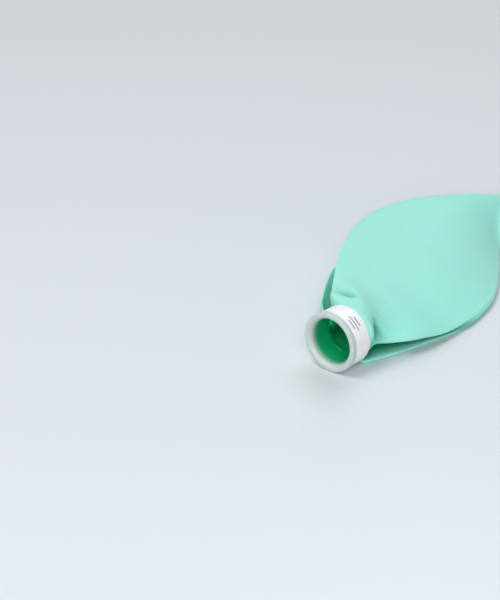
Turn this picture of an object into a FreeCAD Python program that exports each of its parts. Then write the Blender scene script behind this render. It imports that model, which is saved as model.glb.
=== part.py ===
import FreeCAD, Part
import math
import os
import Sketcher

# Breathing bag: a dipped rubber bag with a round neck, a pleat on each side of
# the neck, a puffed body and a flat closed tail. A moulded 22 mm socket with a
# flange sits in the neck, and a white band goes round the outside of it.
# Millimetres. The origin is the centre of the mouth, +X runs along the neck
# towards the tail and +Z is up. The bag lies on a table that the flange touches.

doc = FreeCAD.newDocument("breathing_bag")

DRIVING_SIZES = [
    # collar
    ("socket_radius", 11.1, "bore for a 22 mm conical connector, at the middle of its taper"),
    ("lead_in", 0.75, "chamfer at the mouth of the socket"),
    ("sleeve_wall", 1.3, "wall of the bushing's sleeve"),
    ("sleeve_length", 13.5, "from the mouth to the sleeve's inner end"),
    ("flange_thickness", 2.75, "flange along the axis"),
    ("flange_overhang", 0.5, "flange beyond the band"),
    ("flange_chamfer", 0.6, "chamfer of the flange's front edge"),
    ("band_wall", 0.75, "wall of the band"),
    ("band_width", 10.25, "band along the axis"),
    ("band_chamfer", 0.25, "chamfer of the band's back edge"),
    # bag skin and neck
    ("bag_wall", 1.1, "thickness of the rubber"),
    ("neck_reach", 0.8, "straight neck beyond the band"),
    ("neck_blend", 9.0, "from the round neck to the pleated shoulder"),
    ("neck_step", 0.05, "first section of the body inside the neck's surface"),
    # lie of the body
    ("body_length", 186.0, "from the neck to the root of the tail"),
    ("widest_run", 88.0, "from the neck to the widest place"),
    ("neck_half", 12.0, "half the shoulder's width beside the neck"),
    ("body_half", 41.0, "half the width at the widest place"),
    ("crest_height", 26.0, "height of the body's crest above the table"),
    ("side_sweep", 39.5, "how far the body swings to the left of the neck"),
    ("side_bulge", 7.0, "left side beyond the left fold"),
    ("flare_length", 24.0, "length in which the left side comes out"),
    ("crown", 5.0, "swell of the top panel above its two folds"),
    ("closing_length", 36.0, "length in which the body closes on the tail"),
    # right pleat and edge
    ("right_fold_height", 8.2, "height of the right fold beside the neck"),
    ("fold_thickness", 2.6, "two layers of rubber at a fold"),
    ("right_pleat_depth", 11.0, "how far the right pleat goes in"),
    ("right_pleat_length", 62.0, "from the neck to where the right pleat ends"),
    ("right_lip_inset", 4.0, "lower lip inside the right fold"),
    ("edge_thickness", 4.8, "right edge of the body behind the pleat"),
    ("underside_inset", 5.0, "underside's left edge inside the left lip"),
    ("seam_inset", 1.2, "underside's edge inside the roundings beside it"),
    # left pleat
    ("left_pleat_depth", 8.0, "how far the left pleat goes in"),
    ("left_pleat_length", 86.0, "from the neck to where the left pleat ends"),
    ("left_lip_height", 9.0, "height of the left pleat's lower lip"),
    # puckers behind the collar
    ("pucker_depth", 2.0, "depth of the dimple beside the collar"),
    ("pucker_run", 6.5, "from the neck to the dimple"),
    ("pucker_length", 3.2, "reach of the dimple along the bag"),
    # tail
    ("tail_length", 30.0, "from the root to the tip"),
    ("tail_half", 9.5, "half the tail's width"),
    ("tail_thickness", 4.6, "two layers of rubber, pressed flat"),
    ("tail_height", 10.0, "middle of the tail above the table"),
    ("tail_drift", 4.8, "how far the tip lies to the left of the root"),
    ("tail_groove", 0.8, "depth of the groove along the tail"),
]

sheet = doc.addObject("Spreadsheet::Sheet", "sizes")
for number, (alias, value, meaning) in enumerate(DRIVING_SIZES, start=1):
    sheet.set("A%d" % number, alias)
    sheet.set("B%d" % number, str(value))
    sheet.set("C%d" % number, meaning)
    sheet.setAlias("B%d" % number, alias)
doc.recompute()


def size(alias):
    """One driving size, read from the sheet."""
    return float(sheet.get(alias))


# Fits that the pieces share, as expressions on the sheet.
SLEEVE_RADIUS = "(sizes.socket_radius + sizes.sleeve_wall)"
NECK_RADIUS = SLEEVE_RADIUS + " + sizes.bag_wall"
BAND_RADIUS = NECK_RADIUS + " + sizes.band_wall"
FLANGE_RADIUS = BAND_RADIUS + " + sizes.flange_overhang"

sleeve_radius = size("socket_radius") + size("sleeve_wall")
neck_radius = sleeve_radius + size("bag_wall")
axis_height = neck_radius + size("band_wall") + size("flange_overhang")
neck_end = size("flange_thickness") + size("band_width") + size("neck_reach")


def origin_plane(body, role):
    """The body's own origin plane of that role."""
    for feature in body.Origin.OriginFeatures:
        if feature.Role == role:
            return feature
    raise RuntimeError("no plane " + role)


def new_body(name):
    """An empty body whose label names its file."""
    body = doc.addObject("PartDesign::Body", name)
    body.Label = name
    return body


# Bushing: translucent moulded socket. Its half section is turned about the X
# axis: bore with a lead-in, flange in front, sleeve behind.

bushing = new_body("bushing")
half_section = bushing.newObject("Sketcher::SketchObject", "bushing_half_section")
half_section.AttachmentSupport = [(origin_plane(bushing, "XZ_Plane"), "")]
half_section.MapMode = "FlatFace"

BUSHING_CORNERS = [
    # name, place along the axis, radius
    ("mouth", "0", "sizes.socket_radius + sizes.lead_in"),
    ("bore_start", "sizes.lead_in", "sizes.socket_radius"),
    ("bore_end", "sizes.sleeve_length", "sizes.socket_radius"),
    ("sleeve_end", "sizes.sleeve_length", SLEEVE_RADIUS),
    ("sleeve_root", "sizes.flange_thickness", SLEEVE_RADIUS),
    ("flange_back", "sizes.flange_thickness", FLANGE_RADIUS),
    ("flange_front", "0", FLANGE_RADIUS),
]


def draw_closed_profile(sketch, corners):
    """Straight lines from corner to corner, each corner bound to the sheet."""
    values = []
    for name, along_text, radius_text in corners:
        values.append((evaluate(along_text), evaluate(radius_text)))
    count = len(corners)
    for index in range(count):
        here = values[index]
        there = values[(index + 1) % count]
        start = FreeCAD.Vector(here[0], here[1], 0)
        end = FreeCAD.Vector(there[0], there[1], 0)
        sketch.addGeometry(Part.LineSegment(start, end), False)
    for index in range(count):
        sketch.addConstraint(Sketcher.Constraint("Coincident", index, 2, (index + 1) % count, 1))
    for index, (name, along_text, radius_text) in enumerate(corners):
        bind_distance(sketch, "DistanceX", index, values[index][0], name + "_along", along_text)
        bind_distance(sketch, "DistanceY", index, values[index][1], name + "_radius", radius_text)


def evaluate(text):
    """Value of an expression on the sheet, in millimetres."""
    result = sheet.evalExpression(text)
    return float(getattr(result, "Value", result))


def bind_distance(sketch, kind, line, value, name, text):
    """Distance from the sketch's origin to a line's first point."""
    if text == "0":
        axis = -2 if kind == "DistanceX" else -1
        sketch.addConstraint(Sketcher.Constraint("PointOnObject", line, 1, axis))
        return
    place = sketch.addConstraint(Sketcher.Constraint(kind, -1, 1, line, 1, value))
    sketch.renameConstraint(place, name)
    sketch.setExpression("Constraints." + name, text)


draw_closed_profile(half_section, BUSHING_CORNERS)
doc.recompute()

turned = bushing.newObject("PartDesign::Revolution", "bushing_turned")
turned.Profile = half_section
turned.ReferenceAxis = (half_section, ["H_Axis"])
turned.Angle = 360
doc.recompute()


def circle_edge(shape, place, radius):
    """Name of the circular edge at that place along the axis and radius."""
    for number, edge in enumerate(shape.Edges, start=1):
        curve = edge.Curve
        if not isinstance(curve, Part.Circle):
            continue
        if abs(curve.Center.x - place) < 1e-4 and abs(curve.Radius - radius) < 1e-4:
            return "Edge%d" % number
    raise RuntimeError("no edge at %g, radius %g" % (place, radius))


flange_edge = bushing.newObject("PartDesign::Chamfer", "flange_front_chamfer")
flange_edge.Base = (turned, [circle_edge(turned.Shape, 0, axis_height)])
flange_edge.setExpression("Size", "sizes.flange_chamfer")
doc.recompute()

# Band: white sleeve that grips the neck behind the flange. A ring is padded
# along the X axis from the back of the flange.

band = new_body("band")
ring = band.newObject("Sketcher::SketchObject", "band_ring")
ring.AttachmentSupport = [(origin_plane(band, "YZ_Plane"), "")]
ring.MapMode = "FlatFace"
ring.setExpression("AttachmentOffset.Base.z", "sizes.flange_thickness")
centre = FreeCAD.Vector(0, 0, 0)
normal = FreeCAD.Vector(0, 0, 1)
for index, (name, text) in enumerate([("inner_radius", NECK_RADIUS), ("outer_radius", BAND_RADIUS)]):
    ring.addGeometry(Part.Circle(centre, normal, evaluate(text)), False)
    ring.addConstraint(Sketcher.Constraint("Coincident", index, 3, -1, 1))
    place = ring.addConstraint(Sketcher.Constraint("Radius", index, evaluate(text)))
    ring.renameConstraint(place, name)
    ring.setExpression("Constraints." + name, text)
doc.recompute()

band_pad = band.newObject("PartDesign::Pad", "band_pad")
band_pad.Profile = ring
band_pad.setExpression("Length", "sizes.band_width")
doc.recompute()

band_back = size("flange_thickness") + size("band_width")
band_edge = band.newObject("PartDesign::Chamfer", "band_back_chamfer")
band_edge.Base = (band_pad, [circle_edge(band_pad.Shape, band_back, neck_radius + size("band_wall"))])
band_edge.setExpression("Size", "sizes.band_chamfer")
doc.recompute()

# Bag: one dipped skin. Each cross section is a closed cubic spline on 24 poles,
# counted from the right fold over the top panel, down the left side, along the
# table and up the right side. Points spaced evenly along the spline make the
# section's wire. Sections follow the bag from the neck to the tip of the tail,
# and a ruled loft from each to the next is the outside. The same sections, drawn
# in by the wall, are the space inside.

SIDE_POLES = 7
TOP_POLES = 6
BOTTOM_POLES = 4
POLES = 2 * SIDE_POLES + TOP_POLES + BOTTOM_POLES
OUTSIDE_POINTS = 2
INSIDE_POINTS = 1
BODY_STATIONS = 24
TAIL_STATIONS = 6
FIRST_POLE_ANGLE = -25.0
# Places of the two dimples, counted in poles, and how many poles each one spans.
BESIDE_COLLAR = 3.2
BESIDE_SPAN = 1.7
ABOVE_COLLAR = 7.4
ABOVE_SPAN = 1.0
ABOVE_SHARE = 0.6


def mix(first, second, share):
    """From first to second as share goes from 0 to 1."""
    return first + (second - first) * share


def rise(place, start, end):
    """0 before start, 1 after end, and a smooth step between them."""
    share = min(max((place - start) / (end - start), 0.0), 1.0)
    return share * share * (3.0 - 2.0 * share)


def blend(first, second, share):
    """Two lists of points mixed point by point."""
    return [(mix(a[0], b[0], share), mix(a[1], b[1], share)) for a, b in zip(first, second)]


def arc_poles(middle, reach, height, start, end):
    """Seven points on an ellipse round middle, from the start to the end angle."""
    points = []
    for index in range(SIDE_POLES):
        angle = math.radians(mix(start, end, index / (SIDE_POLES - 1)))
        points.append((middle[0] + reach * math.cos(angle), middle[1] + height * math.sin(angle)))
    return points


def middle_line(run):
    """Sideways place of the bag's middle: it swings left, then straightens."""
    share = min(max(run / size("body_length"), 0.0), 1.0)
    beyond = max(run - size("body_length"), 0.0)
    swing = size("side_sweep") * math.sin(math.pi / 2 * share ** 1.3)
    return swing + size("tail_drift") * beyond / size("tail_length")


def half_width(run):
    """Half the width: a quarter sine to the widest place, then a cosine to the tail."""
    widest = size("widest_run")
    if run < widest:
        share = math.sin(math.pi / 2 * max(run, 0.0) / widest)
        return mix(size("neck_half"), size("body_half"), share)
    share = min((run - widest) / (size("body_length") - widest), 1.0)
    return mix(size("tail_half"), size("body_half"), (1 + math.cos(math.pi * share)) / 2)


def top_height(run):
    """Height of the crest: level with the neck, then the body's, then the tail's."""
    widest = size("widest_run")
    front = mix(axis_height + neck_radius, size("crest_height"), rise(run, widest / 2, widest))
    share = min(max((run - widest) / (size("body_length") - widest), 0.0), 1.0)
    tail_top = size("tail_height") + size("tail_thickness") / 2
    return mix(tail_top, front, math.cos(math.pi / 2 * share ** 1.75))


def closing(run):
    """0 on the body and 1 at the tail's root."""
    return rise(run, size("body_length") - size("closing_length"), size("body_length"))


def right_side(run, edge):
    """Poles up the right side: lower lip, pleat and fold, then a round edge."""
    fold = size("fold_thickness")
    pleat_end = size("right_pleat_length")
    fold_height = mix(size("right_fold_height"), 0.75 * size("edge_thickness"), rise(run, pleat_end / 3, pleat_end))
    depth = size("right_pleat_depth") * rise(run, 0, 1.4 * size("neck_blend"))
    lip = edge + size("right_lip_inset")
    pleated = [
        (lip, 0.0),
        (lip - 0.1 * fold, fold),
        (lip + 0.5 * depth, 1.1 * fold),
        (edge + depth + 0.4 * size("right_lip_inset"), (fold + fold_height) / 2 - fold / 4),
        (edge + 0.55 * depth, fold_height - 0.75 * fold),
        (edge, fold_height - fold / 2),
        (edge, fold_height + fold / 2),
    ]
    floor = floor_height(run)
    half = mix(size("edge_thickness"), top_height(run) - floor, closing(run)) / 2
    rounded = arc_poles((edge + 1.1 * half, floor + half), -1.1 * half, half, -80, 80)
    return blend(pleated, rounded, rise(run, pleat_end / 2, 1.1 * pleat_end))


def floor_height(run):
    """Height of the underside: on the table until the body closes on the tail."""
    return (size("tail_height") - size("tail_thickness") / 2) * closing(run)


def left_side(run, edge):
    """Poles down the left side: fold, pleat and bulging lip, then a round side."""
    top = top_height(run)
    floor = floor_height(run)
    fold = size("fold_thickness")
    lip_height = size("left_lip_height")
    pleat_end = size("left_pleat_length")
    away = 1 - rise(run, 1.2 * size("widest_run"), size("body_length"))
    out = edge + size("side_bulge") * rise(run, 0, size("flare_length")) * away
    depth = size("left_pleat_depth") * rise(run, 0.1 * size("flare_length"), size("flare_length"))
    middle = (top + lip_height) / 2
    pleated = [
        (edge, top - 0.15 * fold),
        (edge + 0.4 * fold, top - 1.5 * fold),
        (mix(edge, out, 0.5) - 0.72 * depth, middle + fold),
        (mix(edge, out, 0.4) - 0.88 * depth, middle - 0.4 * fold),
        (mix(edge, out, 0.8) - 0.55 * depth, middle - 1.7 * fold),
        (out, 1.2 * lip_height),
        (out - 0.15 * fold, 0.65 * lip_height),
    ]
    half = (top - floor) / 2
    reach = 0.9 * half
    rounded = arc_poles((out - reach, floor + half), reach, half, 75, -65)
    return blend(pleated, rounded, rise(run, 0.6 * pleat_end, pleat_end))


def row(start, end, count, step_in):
    """Points from start to end, both left out when step_in is 1."""
    return [(mix(start[0], end[0], (index + step_in) / (count - 1 + 2 * step_in)),
             mix(start[1], end[1], (index + step_in) / (count - 1 + 2 * step_in))) for index in range(count)]


def top_swell(run):
    """How far the middle of the top panel stands above the line between its folds."""
    return size("crown") * (1 - 0.8 * closing(run)) * mix(0.65, 1.0, rise(run, 0, size("widest_run")))


def body_section(run):
    """Poles of the body's section, sideways and above the table."""
    middle = middle_line(run)
    half = half_width(run)
    right = right_side(run, middle - half)
    left = left_side(run, middle + half)
    top = []
    for index, (side, height) in enumerate(row(right[-1], left[0], TOP_POLES, 1)):
        share = (index + 1) / (TOP_POLES + 1)
        top.append((side, height + top_swell(run) * math.sin(math.pi * share)))
    floor = floor_height(run)
    inset = mix(size("underside_inset"), size("seam_inset"), closing(run))
    bottom = row((left[-1][0] - inset, floor), (right[0][0] + size("seam_inset"), floor), BOTTOM_POLES, 0)
    return right[-2:] + top + left + bottom + right[:-2]


def round_section(radius):
    """Poles of a spline that is a circle of that radius round the neck's axis."""
    step = 2 * math.pi / POLES
    pole_radius = radius * 3 / (2 + math.cos(step))
    points = []
    for index in range(POLES):
        angle = math.radians(FIRST_POLE_ANGLE) + step * index
        points.append((-pole_radius * math.cos(angle), axis_height + pole_radius * math.sin(angle)))
    return points


def puckered(points, run):
    """The skin behind the collar drawn in at two dimples, towards the neck's axis."""
    along_fade = math.exp(-((run - size("pucker_run")) / size("pucker_length")) ** 2)
    result = []
    for index, (side, height) in enumerate(points):
        beside = math.exp(-((index - BESIDE_COLLAR) / BESIDE_SPAN) ** 2)
        above = ABOVE_SHARE * math.exp(-((index - ABOVE_COLLAR) / ABOVE_SPAN) ** 2)
        depth = size("pucker_depth") * along_fade * (beside + above)
        reach = math.hypot(side, height - axis_height)
        result.append((side * (1 - depth / reach), height - (height - axis_height) * depth / reach))
    return result


def tail_section(run):
    """Poles of the tail: a tube pressed flat, with a groove along its top."""
    middle = middle_line(run)
    left_over = size("tail_length") - (run - size("body_length"))
    half = size("tail_half")
    if left_over < half:
        narrow = math.sqrt(max(1 - (1 - left_over / half) ** 2, 0.0))
        half = mix(0.45 * size("tail_half"), size("tail_half"), narrow)
    thin = size("tail_thickness") / 2 * mix(0.6, 1.0, rise(left_over, 0, size("tail_thickness")))
    height = size("tail_height")
    right = arc_poles((middle - half + 1.1 * thin, height), -1.1 * thin, thin, -80, 80)
    left = arc_poles((middle + half - 1.1 * thin, height), 1.1 * thin, thin, 75, -65)
    groove = size("tail_groove") * rise(run, size("body_length"), size("body_length") + size("tail_half"))
    top = []
    for index, (side, level) in enumerate(row(right[-1], left[0], TOP_POLES, 1)):
        share = (index + 1) / (TOP_POLES + 1)
        top.append((side, level + 0.2 * thin * math.sin(math.pi * share) - groove * math.sin(math.pi * share) ** 4))
    inset = size("seam_inset")
    bottom = row((left[-1][0] - inset, height - thin), (right[0][0] + inset, height - thin), BOTTOM_POLES, 0)
    return right[-2:] + top + left + bottom + right[:-2]


def section(run):
    """Poles of the outer skin's section, at that run from the neck's end."""
    if run > size("body_length"):
        return tail_section(run)
    neck = round_section(neck_radius - size("neck_step"))
    left_over = max(1 - run / size("neck_blend"), 0.0)
    return puckered(blend(neck, body_section(run), 1 - left_over ** 2), run)


def drawn_in(points, depth):
    """The polygon of poles moved inwards by depth, each corner along its mitre."""
    count = len(points)
    result = []
    for index in range(count):
        before = unit(points[index - 1], points[index])
        after = unit(points[index], points[(index + 1) % count])
        turn = 1 + before[0] * after[0] + before[1] * after[1]
        scale = depth / max(turn, 0.45)
        inwards = ((before[1] + after[1]) * scale, -(before[0] + after[0]) * scale)
        result.append((points[index][0] + inwards[0], points[index][1] + inwards[1]))
    return result


def unit(start, end):
    """Direction from start to end."""
    length = math.hypot(end[0] - start[0], end[1] - start[1])
    return ((end[0] - start[0]) / length, (end[1] - start[1]) / length)


def section_wire(points, place, points_per_pole):
    """Closed polygon of points on the section's spline, at that place along the X axis."""
    count = len(points)
    corners = []
    for index in range(count):
        poles = [points[(index + offset) % count] for offset in (-1, 0, 1, 2)]
        for step in range(points_per_pole):
            t = step / points_per_pole
            weights = ((1 - t) ** 3, 3 * t ** 3 - 6 * t ** 2 + 4, -3 * t ** 3 + 3 * t ** 2 + 3 * t + 1, t ** 3)
            side = sum(weight * pole[0] for weight, pole in zip(weights, poles)) / 6
            height = sum(weight * pole[1] for weight, pole in zip(weights, poles)) / 6
            corners.append(FreeCAD.Vector(place, side, height - axis_height))
    return Part.makePolygon(corners + corners[:1])


def body_runs():
    """Runs of the body's sections, close together at the neck and at the tail."""
    length = size("body_length")
    return [length * (1 - math.cos(math.pi * index / BODY_STATIONS)) / 2 for index in range(BODY_STATIONS + 1)]


def tail_runs():
    """Runs of the tail's sections, closest together at the tip."""
    steps = [math.sin(math.pi / 2 * (index + 1) / TAIL_STATIONS) for index in range(TAIL_STATIONS)]
    return [size("body_length") + size("tail_length") * step for step in steps]


def round_wall(radius):
    """The neck's round wall of that radius, from the flange's back to the neck's end."""
    start = size("flange_thickness")
    cylinder = Part.makeCylinder(radius, neck_end - start, FreeCAD.Vector(start, 0, 0), FreeCAD.Vector(1, 0, 0))
    for face in cylinder.Faces:
        if isinstance(face.Surface, Part.Cylinder):
            return face
    raise RuntimeError("no round wall")


def rim(wall, place):
    """The round wall's circle at that place along the X axis."""
    for edge in wall.Edges:
        if isinstance(edge.Curve, Part.Circle) and abs(edge.Curve.Center.x - place) < 1e-6:
            return Part.Wire([edge])
    raise RuntimeError("no rim at %g" % place)


def underside(faces):
    """One plane face in place of the strips that lie on the table, and the strips left."""
    table = -axis_height + 1e-6
    lying = [face for face in faces if all(vertex.Point.z < table for vertex in face.Vertexes)]
    standing = [face for face in faces if not any(face.isSame(other) for other in lying)]
    edges = [edge for face in lying for edge in face.Edges]
    rim_edges = [edge for edge in edges if sum(edge.isSame(other) for other in edges) == 1]
    return Part.Face(Part.Wire(Part.__sortEdges__(rim_edges))), standing


outer_wires = []
for run in body_runs() + tail_runs():
    outer_wires.append(section_wire(section(run), neck_end + run, OUTSIDE_POINTS))
inner_wires = []
for run in body_runs():
    if run < size("body_length") - size("bag_wall"):
        inner_wires.append(section_wire(drawn_in(section(run), size("bag_wall")), neck_end + run, INSIDE_POINTS))

outer_wall = round_wall(neck_radius)
inner_wall = round_wall(sleeve_radius)
lying_face, skin = underside(Part.makeLoft(outer_wires, False, True).Faces)
skin += Part.makeLoft(inner_wires, False, True).Faces
skin += [lying_face, outer_wall, inner_wall]
skin.append(Part.Face([rim(outer_wall, size("flange_thickness")), rim(inner_wall, size("flange_thickness"))]))
skin.append(Part.Face([rim(outer_wall, neck_end), outer_wires[0]]))
skin.append(Part.Face([rim(inner_wall, neck_end), inner_wires[0]]))
skin.append(Part.Face(outer_wires[-1]))
skin.append(Part.Face(inner_wires[-1]))
sewn = Part.makeCompound(skin)
sewn.sewShape()
shell = sewn.Shells[0]
shell.fix(1e-6, 1e-6, 1e-5)

bag = doc.addObject("Part::Feature", "bag")
bag.Label = "bag"
bag.Shape = Part.makeSolid(shell)
bag.Placement = FreeCAD.Placement()
doc.recompute()

PARTS = [bushing, band, bag]

for item in doc.Objects:
    if "Invalid" in item.State or "Error" in item.State:
        raise RuntimeError("failed object " + item.Name)
os.makedirs("parts", exist_ok=True)
for item in PARTS:
    shape = item.Shape
    if shape.isNull() or not shape.isValid():
        raise RuntimeError("bad shape " + item.Label)
    print(item.Label, "solids", len(shape.Solids), "volume", round(shape.Volume, 1))
for item in PARTS:
    item.Shape.exportStep("parts/%s.step" % item.Label)
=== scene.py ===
import math

import bpy
import numpy as np
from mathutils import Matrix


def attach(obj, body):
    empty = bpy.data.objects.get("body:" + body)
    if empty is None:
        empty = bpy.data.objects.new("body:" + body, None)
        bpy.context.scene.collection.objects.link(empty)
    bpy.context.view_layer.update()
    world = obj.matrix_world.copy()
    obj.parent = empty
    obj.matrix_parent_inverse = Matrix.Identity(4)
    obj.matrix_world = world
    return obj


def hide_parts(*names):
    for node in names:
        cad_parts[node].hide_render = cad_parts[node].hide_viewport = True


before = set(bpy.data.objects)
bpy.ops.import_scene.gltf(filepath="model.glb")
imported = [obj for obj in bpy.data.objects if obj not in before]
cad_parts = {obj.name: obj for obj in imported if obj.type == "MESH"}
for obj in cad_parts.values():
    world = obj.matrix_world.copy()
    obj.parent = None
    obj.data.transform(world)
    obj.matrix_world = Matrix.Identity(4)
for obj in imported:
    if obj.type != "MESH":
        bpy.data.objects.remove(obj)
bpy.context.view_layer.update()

MM = 0.001                # sizes are in millimetres, meshes in metres

# Rubber bag. It is dipped in one piece from thin rubber: a round neck, a shoulder
# that folds into a pleat on each side, a puffed body and a tail pressed flat. It
# lies on a table, flopped to the left of its neck, and its skin is hollow.

# A run is a place along the bag, counted from the end of the neck towards the tail.
# Heights are counted from the table, sideways places leftwards from the neck's axis.
WALL = 0.6
TABLE_DROP = 14.75        # neck's axis above the table
NECK_RADIUS = 13.48       # outside of the neck, just inside the band
NECK_BORE = 12.42         # inside of the neck, just outside the socket's sleeve
NECK_FRONT = 2.77         # the neck starts behind the flange
NECK_END = 13.8
NECK_BLEND = 9.0          # run in which the round neck turns into the body
LIP_BLEND = 3.2           # the same at the right lip and fold
TOP_BLEND = 32.0          # the same on top
BODY_LENGTH = 186.0
WIDEST_RUN = 88.0
NECK_HALF = 12.0          # half the body's width at the neck
BODY_HALF = 41.0          # and at the widest run
CREST = 28.0              # height of the body
CREST_EASE = 2.2          # how long the crest stays high before it falls to the tail
SIDE_SWEEP = 39.5         # tail's root to the left of the neck
SWEEP_EASE = 1.3          # how long the bag runs straight on before it swings left
SIDE_BULGE = 8.5          # left lip beyond the fold above it
BACK_BULGE = 6.0          # the same behind the pleat
FLARE = 24.0              # run in which the left lip and pleat form
CROWN = 5.0               # swell of the top panel
NECK_CROWN = 0.65         # share of it at the neck
TAIL_CROWN = 0.2          # and at the tail
CLOSING = 36.0            # run before the tail in which the body closes
FOLD = 1.7                # two layers of rubber at a fold
RIGHT_FOLD_START = 3.0    # height of the right fold at the neck
RIGHT_FOLD_HEIGHT = 8.2   # and behind it
RIGHT_TUCK = 5.5          # right fold drawn in beside the neck
TUCK_LENGTH = 28.0
RIGHT_PLEAT_DEPTH = 11.0
RIGHT_PLEAT_LENGTH = 62.0
RIGHT_LIP_INSET = 4.5     # lower lip in from the bag's right edge
EDGE_THICKNESS = 4.8      # round right edge behind the pleat
EDGE_REACH = 1.1          # how far a round edge reaches out, for half its height
SIDE_REACH = 0.9          # the same on the left side
EDGE_ARC = (-80, 80)      # degrees of a round edge's poles, upwards on the right
SIDE_ARC = (75, -65)      # and downwards on the left
UNDERSIDE_INSET = 5.0     # from the left side in to the part that lies on the table
SEAM_INSET = 1.2          # the same on the right and at the tail
LEFT_PLEAT_DEPTH = 11.0
LEFT_PLEAT_LENGTH = 86.0
LEFT_LIP_HEIGHT = 9.0
TAIL_LENGTH = 30.0
TAIL_HALF = 9.5
TAIL_END_HALF = 4.275     # half the width left at the rounded end
TAIL_THICKNESS = 4.6
TAIL_TIP = 0.15           # share of the thickness left at the end
TAIL_HEIGHT = 10.0        # middle of the tail above the table
TAIL_DRIFT = 4.8          # tail's end to the left of its root
TAIL_GROOVE = 0.8
TAIL_SWELL = 0.2          # swell of the tail's top, for half its thickness
TAIL_BLEND = (BODY_LENGTH - 3, BODY_LENGTH + 5)   # runs between which it starts

SIDE_POLES = 7
TOP_POLES = 6
BOTTOM_POLES = 4
FOLD_POLES = 2            # last poles of the right side, with which a section starts
POLES = 2 * SIDE_POLES + TOP_POLES + BOTTOM_POLES
FIRST_POLE_ANGLE = -25.0
STEPS_PER_POLE = 8        # points around the bag between two poles
HUMP = np.sin(np.pi * np.arange(1, TOP_POLES + 1) / (TOP_POLES + 1))   # half a sine on top
MITRE_LIMIT = 0.45        # keeps the mitre of a sharp corner short


def mix(first, second, share):
    """From first to second as share goes from 0 to 1."""
    return first + (second - first) * share


def rise(place, start, end):
    """0 before start, 1 after end, and 3t^2 - 2t^3 between them."""
    share = np.clip((place - start) / (end - start), 0, 1)
    return share * share * (3 - 2 * share)


def points(*pairs):
    """Pairs of sideways place and height, numbers or one per section, as (section, pair, 2)."""
    return np.stack([np.stack(np.broadcast_arrays(side, height), -1) for side, height in pairs], 1)


def arc_poles(side, reach, height, half, arc):
    """Seven points on an ellipse round (side, height), from the arc's first angle to its last."""
    angles = np.radians(np.linspace(*arc, SIDE_POLES))
    return points(*[(side + reach * math.cos(a), height + half * math.sin(a)) for a in angles])


def spread(start, end, count, step_in):
    """Points in a straight line from start to end, both left out when step_in is 1."""
    shares = (np.arange(count) + step_in) / (count - 1 + 2 * step_in)
    return start[:, None] + (end - start)[:, None] * shares[None, :, None]


def top_panel(right, left, swell):
    """Poles straight across from the right fold to the left one, each lifted by its swell."""
    top = spread(right[:, -1], left[:, 0], TOP_POLES, 1)
    top[:, :, 1] += swell
    return top


def underside(left, right, inset, height):
    """Poles straight across at that height, from below the left side to below the right."""
    start = np.stack([left[:, -1, 0] - inset, height], -1)
    end = np.stack([right[:, 0, 0] + SEAM_INSET, height], -1)
    return spread(start, end, BOTTOM_POLES, 0)


def assembled(right, top, left, bottom):
    """Poles in the order of the section: right fold, top, left side, underside, right side."""
    return np.concatenate([right[:, -FOLD_POLES:], top, left, bottom, right[:, :-FOLD_POLES]], 1)


def middle_line(run):
    """Sideways place of the bag's middle: a quarter sine to the left, then the tail's drift."""
    share = np.clip(run / BODY_LENGTH, 0, 1)
    beyond = np.maximum(run - BODY_LENGTH, 0)
    sweep = SIDE_SWEEP * np.sin(np.pi / 2 * share ** SWEEP_EASE)
    return sweep + TAIL_DRIFT * beyond / TAIL_LENGTH


def half_width(run):
    """Half the width: a quarter sine to the widest run, then half a cosine to the tail."""
    front = mix(NECK_HALF, BODY_HALF, np.sin(np.pi / 2 * np.maximum(run, 0) / WIDEST_RUN))
    share = np.clip((run - WIDEST_RUN) / (BODY_LENGTH - WIDEST_RUN), 0, 1)
    back = mix(TAIL_HALF, BODY_HALF, (1 + np.cos(np.pi * share)) / 2)
    return np.where(run < WIDEST_RUN, front, back)


def closing(run):
    """0 on the body and 1 at the tail's root."""
    return rise(run, BODY_LENGTH - CLOSING, BODY_LENGTH)


def floor_height(run):
    """Height of the underside: on the table until the body closes on the tail."""
    return (TAIL_HEIGHT - TAIL_THICKNESS / 2) * closing(run)


def top_height(run):
    """Height of the crest: the neck's, then the body's, falling to the tail as a quarter cosine."""
    front = mix(TABLE_DROP + NECK_RADIUS, CREST, rise(run, WIDEST_RUN / 2, WIDEST_RUN))
    share = np.clip((run - WIDEST_RUN) / (BODY_LENGTH - WIDEST_RUN), 0, 1)
    return mix(TAIL_HEIGHT + TAIL_THICKNESS / 2, front, np.cos(np.pi / 2 * share ** CREST_EASE))


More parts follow.
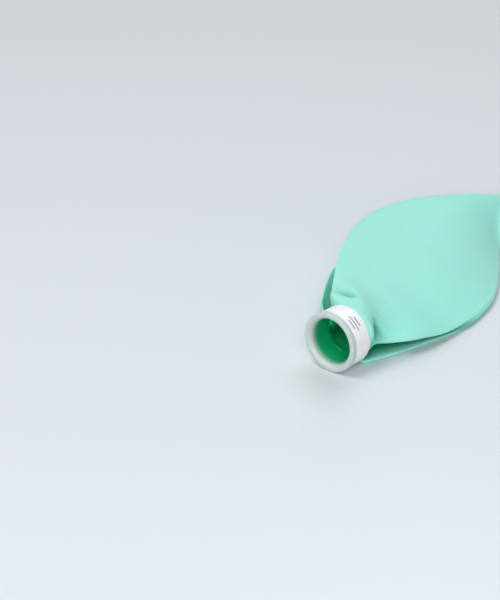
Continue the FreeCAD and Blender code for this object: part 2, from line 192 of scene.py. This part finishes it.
def right_side(run, edge):
    """Poles up the right side: lower lip, pleat and fold, and behind the pleat a round edge."""
    ended = rise(run, RIGHT_PLEAT_LENGTH / 3, RIGHT_PLEAT_LENGTH)
    fold_height = mix(RIGHT_FOLD_START, RIGHT_FOLD_HEIGHT, rise(run, 0, NECK_BLEND))
    fold_height = mix(fold_height, 0.75 * EDGE_THICKNESS, ended)
    depth = RIGHT_PLEAT_DEPTH * rise(run, 0, 1.4 * NECK_BLEND)
    lip = edge + RIGHT_LIP_INSET
    fold = edge + RIGHT_TUCK * (1 - rise(run, TUCK_LENGTH / 3, TUCK_LENGTH))
    pleated = points(
        (lip, 0.0),                                             # lip, on the table
        (lip - 0.1 * FOLD, 1.2 * FOLD),                         # lip, upper layer
        (lip + 0.4 * depth, 1.1 * FOLD),
        (lip + depth, (FOLD + fold_height) / 2 - FOLD / 4),     # bottom of the pleat
        (fold + 0.55 * depth, fold_height - 0.75 * FOLD),
        (fold, fold_height - FOLD / 2),                         # fold, lower layer
        (fold, fold_height + FOLD / 2))                         # fold, upper layer
    floor = floor_height(run)
    half = mix(EDGE_THICKNESS, top_height(run) - floor, closing(run)) / 2
    reach = EDGE_REACH * half
    rounded = arc_poles(edge + reach, -reach, floor + half, half, EDGE_ARC)
    behind = rise(run, RIGHT_PLEAT_LENGTH / 2, 1.1 * RIGHT_PLEAT_LENGTH)
    return mix(pleated, rounded, behind[:, None, None])


def left_side(run, edge):
    """Poles down the left side: fold, pleat and bulging lip, behind the pleat a round side."""
    top = top_height(run)
    floor = floor_height(run)
    bulge = mix(SIDE_BULGE, BACK_BULGE, rise(run, FLARE, WIDEST_RUN))
    out = edge + bulge * rise(run, 0, FLARE) * (1 - rise(run, 1.2 * WIDEST_RUN, BODY_LENGTH))
    bottom = mix(edge, out, 0.3)
    depth = LEFT_PLEAT_DEPTH * rise(run, 0.1 * FLARE, FLARE)
    pleated = points(
        (edge, top - 0.15 * FOLD),                              # fold, upper layer
        (edge + 0.4 * FOLD, top - 1.5 * FOLD),                  # fold, lower layer
        (bottom - 0.72 * depth, (top + LEFT_LIP_HEIGHT) / 2 + FOLD),
        (bottom - 0.88 * depth, 0.6 * LEFT_LIP_HEIGHT),         # bottom of the pleat
        (out - 2.4 * FOLD, 0.6 * LEFT_LIP_HEIGHT),
        (out - 0.6 * FOLD, 1.6 * LEFT_LIP_HEIGHT),              # top of the lip
        (out + 0.4 * FOLD, 0.6 * LEFT_LIP_HEIGHT))              # lip, outer layer
    half = (top - floor) / 2
    reach = SIDE_REACH * half
    rounded = arc_poles(out - reach, reach, floor + half, half, SIDE_ARC)
    behind = rise(run, 0.6 * LEFT_PLEAT_LENGTH, LEFT_PLEAT_LENGTH)
    return mix(pleated, rounded, behind[:, None, None])


def body_section(run):
    """Poles of the body's sections: two sides, a swollen top panel and a flat underside."""
    middle, half, floor = middle_line(run), half_width(run), floor_height(run)
    right = right_side(run, middle - half)
    left = left_side(run, middle + half)
    swell = CROWN * mix(NECK_CROWN, 1, rise(run, 0, WIDEST_RUN)) * mix(1, TAIL_CROWN, closing(run))
    top = top_panel(right, left, swell[:, None] * HUMP)
    inset = mix(UNDERSIDE_INSET, SEAM_INSET, closing(run))
    return assembled(right, top, left, underside(left, right, inset, floor))


def round_end(left_over, radius):
    """A quarter circle as a share of its radius: 0 with nothing left over, 1 from the radius on."""
    return np.sqrt(np.clip(1 - np.clip(1 - left_over / radius, 0, 1) ** 2, 0, 1))


def tail_section(run):
    """Poles of the tail's sections: a tube pressed flat, with a rounded end and a groove on top."""
    middle = middle_line(run)
    left_over = BODY_LENGTH + TAIL_LENGTH - run
    half = mix(TAIL_END_HALF, TAIL_HALF, round_end(left_over, TAIL_HALF))
    full = round_end(left_over, TAIL_THICKNESS / 2)
    thin = TAIL_THICKNESS / 2 * mix(TAIL_TIP, 1, full)
    reach = EDGE_REACH * thin
    right = arc_poles(middle - half + reach, -reach, TAIL_HEIGHT, thin, EDGE_ARC)
    left = arc_poles(middle + half - reach, reach, TAIL_HEIGHT, thin, SIDE_ARC)
    groove = TAIL_GROOVE * rise(run, BODY_LENGTH, BODY_LENGTH + TAIL_HALF) * full
    swell = TAIL_SWELL * thin[:, None] * HUMP - groove[:, None] * HUMP ** 4
    top = top_panel(right, left, swell)
    return assembled(right, top, left, underside(left, right, SEAM_INSET, TAIL_HEIGHT - thin))


def neck_section():
    """Poles evenly round the neck's axis, pushed out until their spline is the neck's circle."""
    step = 2 * np.pi / POLES
    reach = NECK_RADIUS * 3 / (2 + math.cos(step))
    angle = math.radians(FIRST_POLE_ANGLE) + step * np.arange(POLES)
    return np.stack([-reach * np.cos(angle), TABLE_DROP + reach * np.sin(angle)], -1)[None]


def skin_poles(run):
    """Poles of the skin: the neck's circle eased into the body, and the body into the tail."""
    blend = np.full(POLES, NECK_BLEND)
    blend[:FOLD_POLES] = LIP_BLEND
    blend[-SIDE_POLES:] = LIP_BLEND
    share = 1 - np.clip(1 - run[:, None] / blend, 0, 1) ** 2
    share[:, FOLD_POLES:FOLD_POLES + TOP_POLES] = rise(run, 0, TOP_BLEND)[:, None]
    body = body_section(np.minimum(run, BODY_LENGTH))
    body = mix(body, tail_section(run), rise(run, *TAIL_BLEND)[:, None, None])
    return mix(neck_section(), body, share[:, :, None])


def drawn_in(poles, depth):
    """Each polygon of poles moved inwards by depth, corner by corner along its mitre."""
    after = np.roll(poles, -1, 1) - poles
    after /= np.linalg.norm(after, axis=-1, keepdims=True)
    before = np.roll(after, 1, 1)
    turn = 1 + np.sum(before * after, -1, keepdims=True)
    normal = np.stack([before[..., 1] + after[..., 1], -before[..., 0] - after[..., 0]], -1)
    return poles + normal * depth / np.maximum(turn, MITRE_LIMIT)


def spline_rings(poles):
    """Each closed polygon of poles as a uniform cubic B-spline, sampled evenly between poles."""
    t = np.arange(STEPS_PER_POLE) / STEPS_PER_POLE
    weights = np.stack([
        (1 - t) ** 3,
        3 * t ** 3 - 6 * t ** 2 + 4,
        -3 * t ** 3 + 3 * t ** 2 + 3 * t + 1,
        t ** 3]) / 6
    rings = sum(np.roll(poles, 1 - k, 1)[:, :, None] * weights[k][:, None] for k in range(4))
    return rings.reshape(len(poles), -1, 2)


# Folds that the rubber takes beside the collar, as dents towards the neck's axis:
# run, angle round the neck from the right side upwards, reach in front of that run
# and behind it, reach round it in degrees, and depth.
COLLAR_DENTS = [
    (10.0, 3, 3.6, 2.6, 27, 4.8),      # crease to the right of the collar
    (11.6, -19, 3.0, 2.2, 13, 1.6),    # its lower end, down to the fold
    (2.2, 10, 1.6, 2.0, 34, -1.0),     # roll of rubber in front of it
    (13.0, 131, 3.2, 3.0, 13, 2.8),    # dimple above the collar
]
DENTS_START = 1.2         # run in which the dents set in behind the round neck


def dent_depth(rings, run):
    """Depth of the dents at the rings' points: each is a bell in run and in angle."""
    angle = np.degrees(np.arctan2(rings[..., 1] - TABLE_DROP, -rings[..., 0]))
    depth = np.zeros_like(angle)
    for place, middle, before, behind, around, deep in COLLAR_DENTS:
        turn = (angle - middle + 180) % 360 - 180
        along = np.where(run < place, before, behind)
        depth += deep * np.exp(-((run - place) / along)[:, None] ** 2 - (turn / around) ** 2)
    return depth * rise(run, 0, DENTS_START)[:, None]


def dented(rings, run):
    """Rings with the dents, each point moved towards the neck's axis by its depth."""
    side, height = rings[..., 0], rings[..., 1] - TABLE_DROP
    share = 1 - dent_depth(rings, run) / np.maximum(np.hypot(side, height), 1)
    return np.stack([side * share, height * share + TABLE_DROP], -1)


# Painted shade deep in the pleats, where no light reaches: pole in the middle of the pleat, poles
# to each side that are fully shaded, poles at which the shade ends, and the runs between
# which it fades out.
PLEAT_SHADES = [
    (22.4, 0.9, 2.2, 0.8 * RIGHT_PLEAT_LENGTH, 1.3 * RIGHT_PLEAT_LENGTH),
    (10.8, 0.5, 1.9, 0.35 * LEFT_PLEAT_LENGTH, 0.85 * LEFT_PLEAT_LENGTH),
]
PLEAT_SHADE_START = 5.0        # run in which the pleats' painted shade sets in
SHADED_DENT_DEPTH = 4.6      # depth of a dent that is painted as dark as a pleat


def painted_fold_shade(run):
    """Painted shade: 1 deep in a pleat and 0 outside, easing between them, and a share in the
    dents.
    """
    pole = np.arange(POLES * STEPS_PER_POLE) / STEPS_PER_POLE
    depth = np.zeros((len(run), len(pole)))
    for middle, near, far, start, end in PLEAT_SHADES:
        here = rise(run, 0, PLEAT_SHADE_START) * (1 - rise(run, start, end))
        depth += here[:, None] * (1 - rise(np.abs(pole - middle), near, far))
    dents = dent_depth(spline_rings(skin_poles(run)), run)
    return np.clip(depth + np.maximum(dents, 0) / SHADED_DENT_DEPTH, 0, 1)


# Runs of the rings, close together where the shoulder folds. Each span has its start,
# its end, which is left to the next one, and its number of rings.
NECK_RINGS = 6
SHOULDER_END = 22.0
BACK_START = 150.0
TAIL_START = BODY_LENGTH + 8                      # the tail is even from here
TAIL_RINGS = 30
INNER_END = BODY_LENGTH - 2 * WALL
OUTER_SPANS = [(0, SHOULDER_END, 56), (SHOULDER_END, BACK_START, 90), (BACK_START, TAIL_START, 44)]
INNER_SPANS = [(0, SHOULDER_END, 30), (SHOULDER_END, INNER_END, 79)]


def span_runs(spans):
    """Runs spaced evenly in each span, without its end."""
    return np.concatenate([np.linspace(*span, endpoint=False) for span in spans])


def placed(rings, along):
    """Rings and their places along the neck's axis as points in the part's frame."""
    x = np.broadcast_to(along[:, None], rings.shape[:2])
    return np.stack([x, rings[..., 0], rings[..., 1] - TABLE_DROP], -1)


def neck_grid(radius):
    """Points of the straight neck's rings: the neck's circle scaled to the radius."""
    ring = (spline_rings(neck_section()) - (0, TABLE_DROP)) * radius / NECK_RADIUS
    rings = np.repeat(ring + (0, TABLE_DROP), NECK_RINGS, 0)
    return placed(rings, np.linspace(NECK_FRONT, NECK_END, NECK_RINGS, endpoint=False))


def skin_grid(run, depth, radius):
    """Points of rings from the neck's front to the last run, drawn in by depth."""
    poles = skin_poles(run)
    if depth:
        poles = drawn_in(poles, depth)
    rings = dented(spline_rings(poles), run)
    return np.concatenate([neck_grid(radius), placed(rings, NECK_END + run)])


def grid_faces(rows, columns, first):
    """Quads of a grid whose columns close on themselves, counted from the vertex first."""
    r, c = np.meshgrid(np.arange(rows - 1), np.arange(columns), indexing="ij")
    here = first + r * columns + c
    there = first + r * columns + (c + 1) % columns
    return np.stack([here, here + columns, there + columns, there], -1).reshape(-1, 4)


def new_piece(name, vertices, faces, material):
    """A smooth mesh object from points in millimetres and faces, at the origin."""
    mesh = bpy.data.meshes.new(name)
    mesh.from_pydata((np.asarray(vertices) * MM).tolist(), [], faces)
    mesh.polygons.foreach_set("use_smooth", np.ones(len(mesh.polygons), bool))
    mesh.materials.append(material)
    mesh.update()
    piece = bpy.data.objects.new(name, mesh)
    bpy.context.scene.collection.objects.link(piece)
    return piece


def linear(hex_colour):
    """A colour written as sRGB hex, as linear red, green, blue and 1."""
    channels = [int(hex_colour[i:i + 2], 16) / 255 for i in (0, 2, 4)]
    return [c / 12.92 if c <= 0.04045 else ((c + 0.055) / 1.055) ** 2.4 for c in channels] + [1.0]


def add_node(tree, kind, inputs=None, **settings):
    """A node of that kind with its settings; an input is a value or the socket that feeds it."""
    node = tree.nodes.new("ShaderNode" + kind)
    for name, value in settings.items():
        setattr(node, name, value)
    for name, value in (inputs or {}).items():
        if isinstance(value, bpy.types.NodeSocket):
            tree.links.new(value, node.inputs[name])
        else:
            node.inputs[name].default_value = value
    return node


def new_material(name):
    """An empty node material with its output, as (material, node tree, output node)."""
    material = bpy.data.materials.new(name)
    material.use_nodes = True
    tree = material.node_tree
    tree.nodes.clear()
    return material, tree, tree.nodes.new("ShaderNodeOutputMaterial")


# Dipped rubber: satin, faintly cloudy where the dip ran thicker, with a fine
# skin that breaks up the highlight, and a little light passing through the wall.
# In its pleats and dents a painted shade darkens it to a deep green, and the inside
# of the bag is painted a bright green that stands in for light glowing through the wall.
CLOUD_SIZE = 35.7
WAVE_SIZE = 16.7          # slow unevenness of the skin
GRAIN_SIZE = 1.11         # coarser than the real grain, so that it shows

rubber, tree, output = new_material("dipped_rubber")
place = add_node(tree, "TexCoord").outputs["Object"]
cloud = add_node(tree, "TexNoise", {
    "Vector": place, "Scale": 1 / (CLOUD_SIZE * MM), "Detail": 3.0, "Roughness": 0.5})
waves = add_node(tree, "TexNoise", {
    "Vector": place, "Scale": 1 / (WAVE_SIZE * MM), "Detail": 1.0})
grain = add_node(tree, "TexNoise", {
    "Vector": place, "Scale": 1 / (GRAIN_SIZE * MM), "Detail": 2.0})
wave_bump = add_node(tree, "Bump", {
    "Height": waves.outputs["Fac"], "Strength": 0.25, "Distance": 0.6 * MM})
bump = add_node(tree, "Bump", {
    "Height": grain.outputs["Fac"], "Strength": 0.25, "Distance": 0.1 * MM,
    "Normal": wave_bump.outputs["Normal"]})

# A Mix node takes its share at input 0 and its two colours at inputs 6 and 7.
tint = add_node(tree, "Mix", {
    0: cloud.outputs["Fac"], 6: linear("91E8D3"), 7: linear("9DEFDD")}, data_type="RGBA")
# Painted shade: in the pleats and dents the colour turns a deep green where shade falls.
fold_shade_share = add_node(tree, "Attribute", attribute_name="fold_shade").outputs["Fac"]
tint = add_node(tree, "Mix", {
    0: fold_shade_share, 6: tint.outputs[2], 7: linear("0F8C66")}, data_type="RGBA")
# Painted glow: the inner skin is a bright green, standing in for light that shines through the
# rubber into the bag.
inner_glow_share = add_node(tree, "Attribute", attribute_name="inner").outputs["Fac"]
tint = add_node(tree, "Mix", {
    0: inner_glow_share, 6: tint.outputs[2], 7: linear("2BEBA4")}, data_type="RGBA")
satin = add_node(tree, "MapRange", {
    "Value": cloud.outputs["Fac"], "To Min": 0.36, "To Max": 0.46})
shader = add_node(tree, "BsdfPrincipled", {
    "Base Color": tint.outputs[2], "Roughness": satin.outputs["Result"], "IOR": 1.5,
    "Subsurface Weight": 0.4, "Subsurface Radius": (0.4, 1.0, 0.8),
    "Subsurface Scale": 2.0 * MM, "Normal": bump.outputs["Normal"]})
tree.links.new(shader.outputs["BSDF"], output.inputs["Surface"])

# The tail's last rings crowd towards its rounded end, as a quarter sine.
tail_runs = mix(TAIL_START, BODY_LENGTH + TAIL_LENGTH,
                np.sin(np.pi / 2 * np.linspace(0, 1, TAIL_RINGS)))
outer_runs = np.concatenate([span_runs(OUTER_SPANS), tail_runs])
inner_runs = np.append(span_runs(INNER_SPANS), INNER_END)
outside = skin_grid(outer_runs, 0, NECK_RADIUS)
inside = skin_grid(inner_runs, WALL, NECK_BORE)
tips = [outside[-1].mean(0), inside[-1].mean(0)]
vertices = np.concatenate([outside.reshape(-1, 3), inside.reshape(-1, 3), tips])

# The inner skin faces the other way, a rim joins the two at the neck's front, and a
# fan of triangles closes each at the tail.
columns = outside.shape[1]
inner_first = outside.shape[0] * columns
tip = len(vertices) - 2
last_outer = inner_first - columns
last_inner = tip - columns
around = np.arange(columns)
onward = (around + 1) % columns
outer_faces = grid_faces(outside.shape[0], columns, 0)
inner_faces = grid_faces(inside.shape[0], columns, inner_first)[:, ::-1]
rim_faces = np.stack([around, onward, inner_first + onward, inner_first + around], -1)
outer_cap = np.stack([last_outer + around, np.full(columns, tip), last_outer + onward], -1)
inner_cap = np.stack([last_inner + onward, np.full(columns, tip + 1), last_inner + around], -1)
faces = []
for group in (outer_faces, inner_faces, rim_faces, outer_cap, inner_cap):
    faces += group.tolist()

bag = new_piece("rubber_bag", vertices, faces, rubber)
# Painted shade in the pleats and dents of the outer skin, none on the straight neck.
fold_shade = np.zeros(len(vertices))
fold_shade[:inner_first] = np.append(np.zeros(NECK_RINGS * columns), painted_fold_shade(outer_runs))
# The inner skin, marked for its painted glow.
inner = (np.arange(len(vertices)) >= inner_first).astype(float)
bag.data.attributes.new("fold_shade", "FLOAT", "POINT").data.foreach_set("value", fold_shade)
bag.data.attributes.new("inner", "FLOAT", "POINT").data.foreach_set("value", inner)
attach(bag, "root")
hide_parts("bag")

# Moulded socket. The socket in the neck is moulded from a frosted, slightly
# translucent plastic: a flange in front, a sleeve behind, and a smooth bore for a
# 22 mm connector. Its bore is painted green: painted light of the green rubber round the sleeve
# glowing through its wall, darker deeper in.

SOCKET_PROFILE = [
    # place along the axis, radius, radius of the corner's rounding
    (0.0, 12.7, 0.5),
    (1.7, 11.25, 0.9),
    (13.5, 11.05, 0.1),
    (13.5, 12.38, 0.6),
    (2.75, 12.38, 0.02),
    (2.75, 14.75, 0.25),
    (0.0, 14.75, 0.85),
]
SOCKET_CORNER_STEPS = 7
TURNS = 192               # points round a turned piece


def rounded_profile(corners, steps):
    """A closed polygon whose corners are quadratic curves between the ends of their rounding."""
    at = np.array([corner[:2] for corner in corners])
    radius = np.array([corner[2] for corner in corners])[:, None]
    before, after = np.roll(at, 1, 0) - at, np.roll(at, -1, 0) - at
    before /= np.linalg.norm(before, axis=1, keepdims=True)
    after /= np.linalg.norm(after, axis=1, keepdims=True)
    t = np.linspace(0, 1, steps)[None, :, None]
    start, end = (at + before * radius)[:, None], (at + after * radius)[:, None]
    return ((1 - t) ** 2 * start + 2 * t * (1 - t) * at[:, None] + t ** 2 * end).reshape(-1, 2)


def turned(profile, name, material):
    """A closed profile turned round the X axis, with a UV map in mm: round it, and along it."""
    angle = np.linspace(0, 2 * np.pi, TURNS, endpoint=False)
    along, reach = profile[:, None, 0], profile[:, None, 1]
    ring = np.stack(np.broadcast_arrays(along, -reach * np.cos(angle), reach * np.sin(angle)), -1)
    count = len(profile)
    row, turn = np.meshgrid(np.arange(count), np.arange(TURNS), indexing="ij")
    row_on, turn_on = (row + 1) % count, (turn + 1) % TURNS
    rows = np.stack([row, row, row_on, row_on], -1)
    corners = rows * TURNS + np.stack([turn, turn_on, turn_on, turn], -1)
    piece = new_piece(name, ring.reshape(-1, 3), corners.reshape(-1, 4).tolist(), material)
    round_it = np.stack([turn, turn + 1, turn + 1, turn], -1) * 2 * np.pi / TURNS
    uv = piece.data.uv_layers.new(name="mm")
    uv.data.foreach_set("uv", np.stack([round_it * reach.max(), profile[rows, 0]], -1).ravel())
    return piece


# Frosted polypropylene: pale and milky at the flange; along the bore the colour is
# painted a deeper green, painted light and shade for the rubber glowing through the thin wall.
GREEN_START = 1.0         # along the bore
GREEN_FULL = 5.5
BORE_REACH = 11.2         # from the axis: full green up to here
FLANGE_REACH = 12.2       # and none from here on
FROST_SIZE = 0.714        # coarser than the real frosting, so that it shows

frosted, tree, output = new_material("frosted_polypropylene")
place = add_node(tree, "TexCoord").outputs["Object"]
split = add_node(tree, "SeparateXYZ", {"Vector": place})
deep = add_node(tree, "MapRange", {
    "Value": split.outputs["X"], "From Min": GREEN_START * MM, "From Max": GREEN_FULL * MM},
    interpolation_type="SMOOTHSTEP")
squared = add_node(tree, "Math", {
    0: split.outputs["Y"], 1: split.outputs["Y"]}, operation="MULTIPLY")
squared = add_node(tree, "Math", {
    0: split.outputs["Z"], 1: split.outputs["Z"], 2: squared.outputs[0]},
    operation="MULTIPLY_ADD")
reach = add_node(tree, "Math", {0: squared.outputs[0]}, operation="SQRT")
in_bore = add_node(tree, "MapRange", {
    "Value": reach.outputs[0], "From Min": FLANGE_REACH * MM, "From Max": BORE_REACH * MM},
    interpolation_type="SMOOTHSTEP")
green = add_node(tree, "Math", {
    0: deep.outputs["Result"], 1: in_bore.outputs["Result"]}, operation="MULTIPLY")
# Painted light and shade: the bore turns green and darker deeper in, for light glowing through the
# rubber and the wall.
tint = add_node(tree, "Mix", {
    0: green.outputs[0], 6: linear("BCC8C4"), 7: linear("12A36E")}, data_type="RGBA")
frost = add_node(tree, "TexNoise", {
    "Vector": place, "Scale": 1 / (FROST_SIZE * MM), "Detail": 2.0})
bump = add_node(tree, "Bump", {
    "Height": frost.outputs["Fac"], "Strength": 0.2, "Distance": 0.05 * MM})
shader = add_node(tree, "BsdfPrincipled", {
    "Base Color": tint.outputs[2], "Roughness": 0.38, "IOR": 1.49,
    "Subsurface Weight": 0.3, "Subsurface Radius": (1.0, 1.0, 0.9),
    "Subsurface Scale": 1.5 * MM, "Normal": bump.outputs["Normal"]})
tree.links.new(shader.outputs["BSDF"], output.inputs["Surface"])

socket_outline = rounded_profile(SOCKET_PROFILE, SOCKET_CORNER_STEPS)
socket = turned(socket_outline, "socket_bushing", frosted)
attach(socket, "root")
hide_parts("bushing")

# White band. It is a smooth, bright white sleeve of vinyl, slid on round the outside
# of the neck. A plain index mark is printed on it: three strokes, the middle one longer.

BAND_REACH = 14.25        # outside of the band
BAND_PROFILE = [
    (2.78, 13.51, 0.1),
    (13.0, 13.51, 0.1),
    (13.0, BAND_REACH, 0.3),
    (2.78, BAND_REACH, 0.1),
]
BAND_CORNER_STEPS = 5
MARK_ANGLE = 50.0         # round the neck, from its right side upwards
MARK_PLACE = 7.3          # along the neck
MARK_STROKES = [(-1.9, 2.6), (0.0, 4.2), (1.9, 2.6)]   # place from there, half the length
STROKE = 0.6              # width of a stroke
STROKE_EDGE = 0.15        # share of the width in which its edge fades to each side

# Extruded vinyl: glossy and bright, faintly smeared, with a thin dark grey ink.
SMEAR_SIZE = 6.25

vinyl, tree, output = new_material("white_vinyl")
flat = add_node(tree, "SeparateXYZ", {"Vector": add_node(tree, "UVMap", uv_map="mm").outputs["UV"]})
mark_round = math.radians(MARK_ANGLE) * BAND_REACH
off_round = add_node(tree, "Math", {0: flat.outputs["X"], 1: mark_round}, operation="SUBTRACT")
off_round = add_node(tree, "Math", {0: off_round.outputs[0]}, operation="ABSOLUTE")
ink = None
for offset, half_length in MARK_STROKES:
    past_side = add_node(tree, "Math", {
        0: flat.outputs["Y"], 1: MARK_PLACE + offset}, operation="SUBTRACT")
    past_side = add_node(tree, "Math", {0: past_side.outputs[0]}, operation="ABSOLUTE")
    past_end = add_node(tree, "Math", {
        0: off_round.outputs[0], 1: half_length - STROKE / 2}, operation="SUBTRACT")
    past = add_node(tree, "Math", {
        0: past_side.outputs[0], 1: past_end.outputs[0]}, operation="MAXIMUM")
    stroke = add_node(tree, "MapRange", {
        "Value": past.outputs[0], "From Min": (0.5 + STROKE_EDGE) * STROKE,
        "From Max": (0.5 - STROKE_EDGE) * STROKE}).outputs["Result"]
    ink = stroke if ink is None else add_node(tree, "Math", {
        0: ink, 1: stroke}, operation="MAXIMUM").outputs[0]
tint = add_node(tree, "Mix", {
    0: ink, 6: linear("F1F1F4"), 7: linear("6E6A70")}, data_type="RGBA")
place = add_node(tree, "TexCoord").outputs["Object"]
smears = add_node(tree, "TexNoise", {
    "Vector": place, "Scale": 1 / (SMEAR_SIZE * MM), "Detail": 3.0})
sheen = add_node(tree, "MapRange", {
    "Value": smears.outputs["Fac"], "To Min": 0.22, "To Max": 0.34})
shader = add_node(tree, "BsdfPrincipled", {
    "Base Color": tint.outputs[2], "Roughness": sheen.outputs["Result"], "IOR": 1.5})
tree.links.new(shader.outputs["BSDF"], output.inputs["Surface"])

band = turned(rounded_profile(BAND_PROFILE, BAND_CORNER_STEPS), "white_band", vinyl)
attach(band, "root")
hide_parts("band")

# Table and lights. A plain pale table top lies under the bag. The light is soft and
# comes from above on the left, and the camera looks down on the bag from its mouth.

FLOOR_RADIUS = 4000.0
FLOOR_SIDES = 96
FLOOR_GAP = 0.01          # between the bag and the table top

# Painted board: plain, pale and between satin and matt.
floor_paint, tree, output = new_material("pale_table_top")
shader = add_node(tree, "BsdfPrincipled", {"Base Color": linear("D9DEE2"), "Roughness": 0.4})
tree.links.new(shader.outputs["BSDF"], output.inputs["Surface"])
angle = np.linspace(0, 2 * np.pi, FLOOR_SIDES, endpoint=False)
level = np.full(FLOOR_SIDES, -TABLE_DROP - FLOOR_GAP)
rim = np.stack([FLOOR_RADIUS * np.cos(angle), FLOOR_RADIUS * np.sin(angle), level], -1)
table_top = new_piece("table_top", rim, [list(range(FLOOR_SIDES))], floor_paint)

# The studio lights the bag softly, and is white where it is seen or mirrored.
world = bpy.data.worlds.new("studio")
bpy.context.scene.world = world
world.use_nodes = True
tree = world.node_tree
tree.nodes.clear()
output = tree.nodes.new("ShaderNodeOutputWorld")
rays = add_node(tree, "LightPath").outputs
seen = add_node(tree, "Math", {
    0: rays["Is Camera Ray"], 1: rays["Is Glossy Ray"]}, operation="MAXIMUM")
seen = add_node(tree, "Math", {
    0: seen.outputs[0], 1: rays["Is Transmission Ray"]}, operation="MAXIMUM")
lit = add_node(tree, "Background", {"Color": linear("E8EEF4"), "Strength": 0.32})
shown = add_node(tree, "Background", {"Color": (1, 1, 1, 1), "Strength": 1.0})
backdrop = add_node(tree, "MixShader", {
    0: seen.outputs[0], 1: lit.outputs[0], 2: shown.outputs[0]})
tree.links.new(backdrop.outputs[0], output.inputs["Surface"])


def soft_box(name, place, aim, size, watts):
    """A square area lamp at a place, turned to shine at the point aim; both in metres."""
    lamp = bpy.data.lights.new(name, "AREA")
    lamp.energy = watts
    lamp.size = size
    box = bpy.data.objects.new(name, lamp)
    bpy.context.scene.collection.objects.link(box)
    box.location = place
    ahead, aside, up = np.array(aim) - np.array(place)
    box.rotation_euler = (math.atan2(math.hypot(ahead, aside), -up), 0, math.atan2(-ahead, aside))


soft_box("key", (-0.65, 0.25, 1.3), (0.1, 0.02, 0), 0.8, 10.5)
soft_box("back", (0.9, 0.3, 1.2), (0.15, 0.03, 0), 0.8, 4)
soft_box("fill", (-0.8, -0.7, 0.6), (0.03, 0, 0), 0.6, 7.5)

camera_data = bpy.data.cameras.new("camera")
camera_data.lens = 111.46
camera_data.sensor_width = 36
camera_data.clip_start = 0.05
camera = bpy.data.objects.new("camera", camera_data)
bpy.context.scene.collection.objects.link(camera)
camera.location = (-0.5923, -0.4844, 0.3949)
camera.rotation_euler = (math.radians(64), 0, math.radians(-48))
bpy.context.scene.camera = camera
bpy.context.scene.view_settings.view_transform = "Standard"
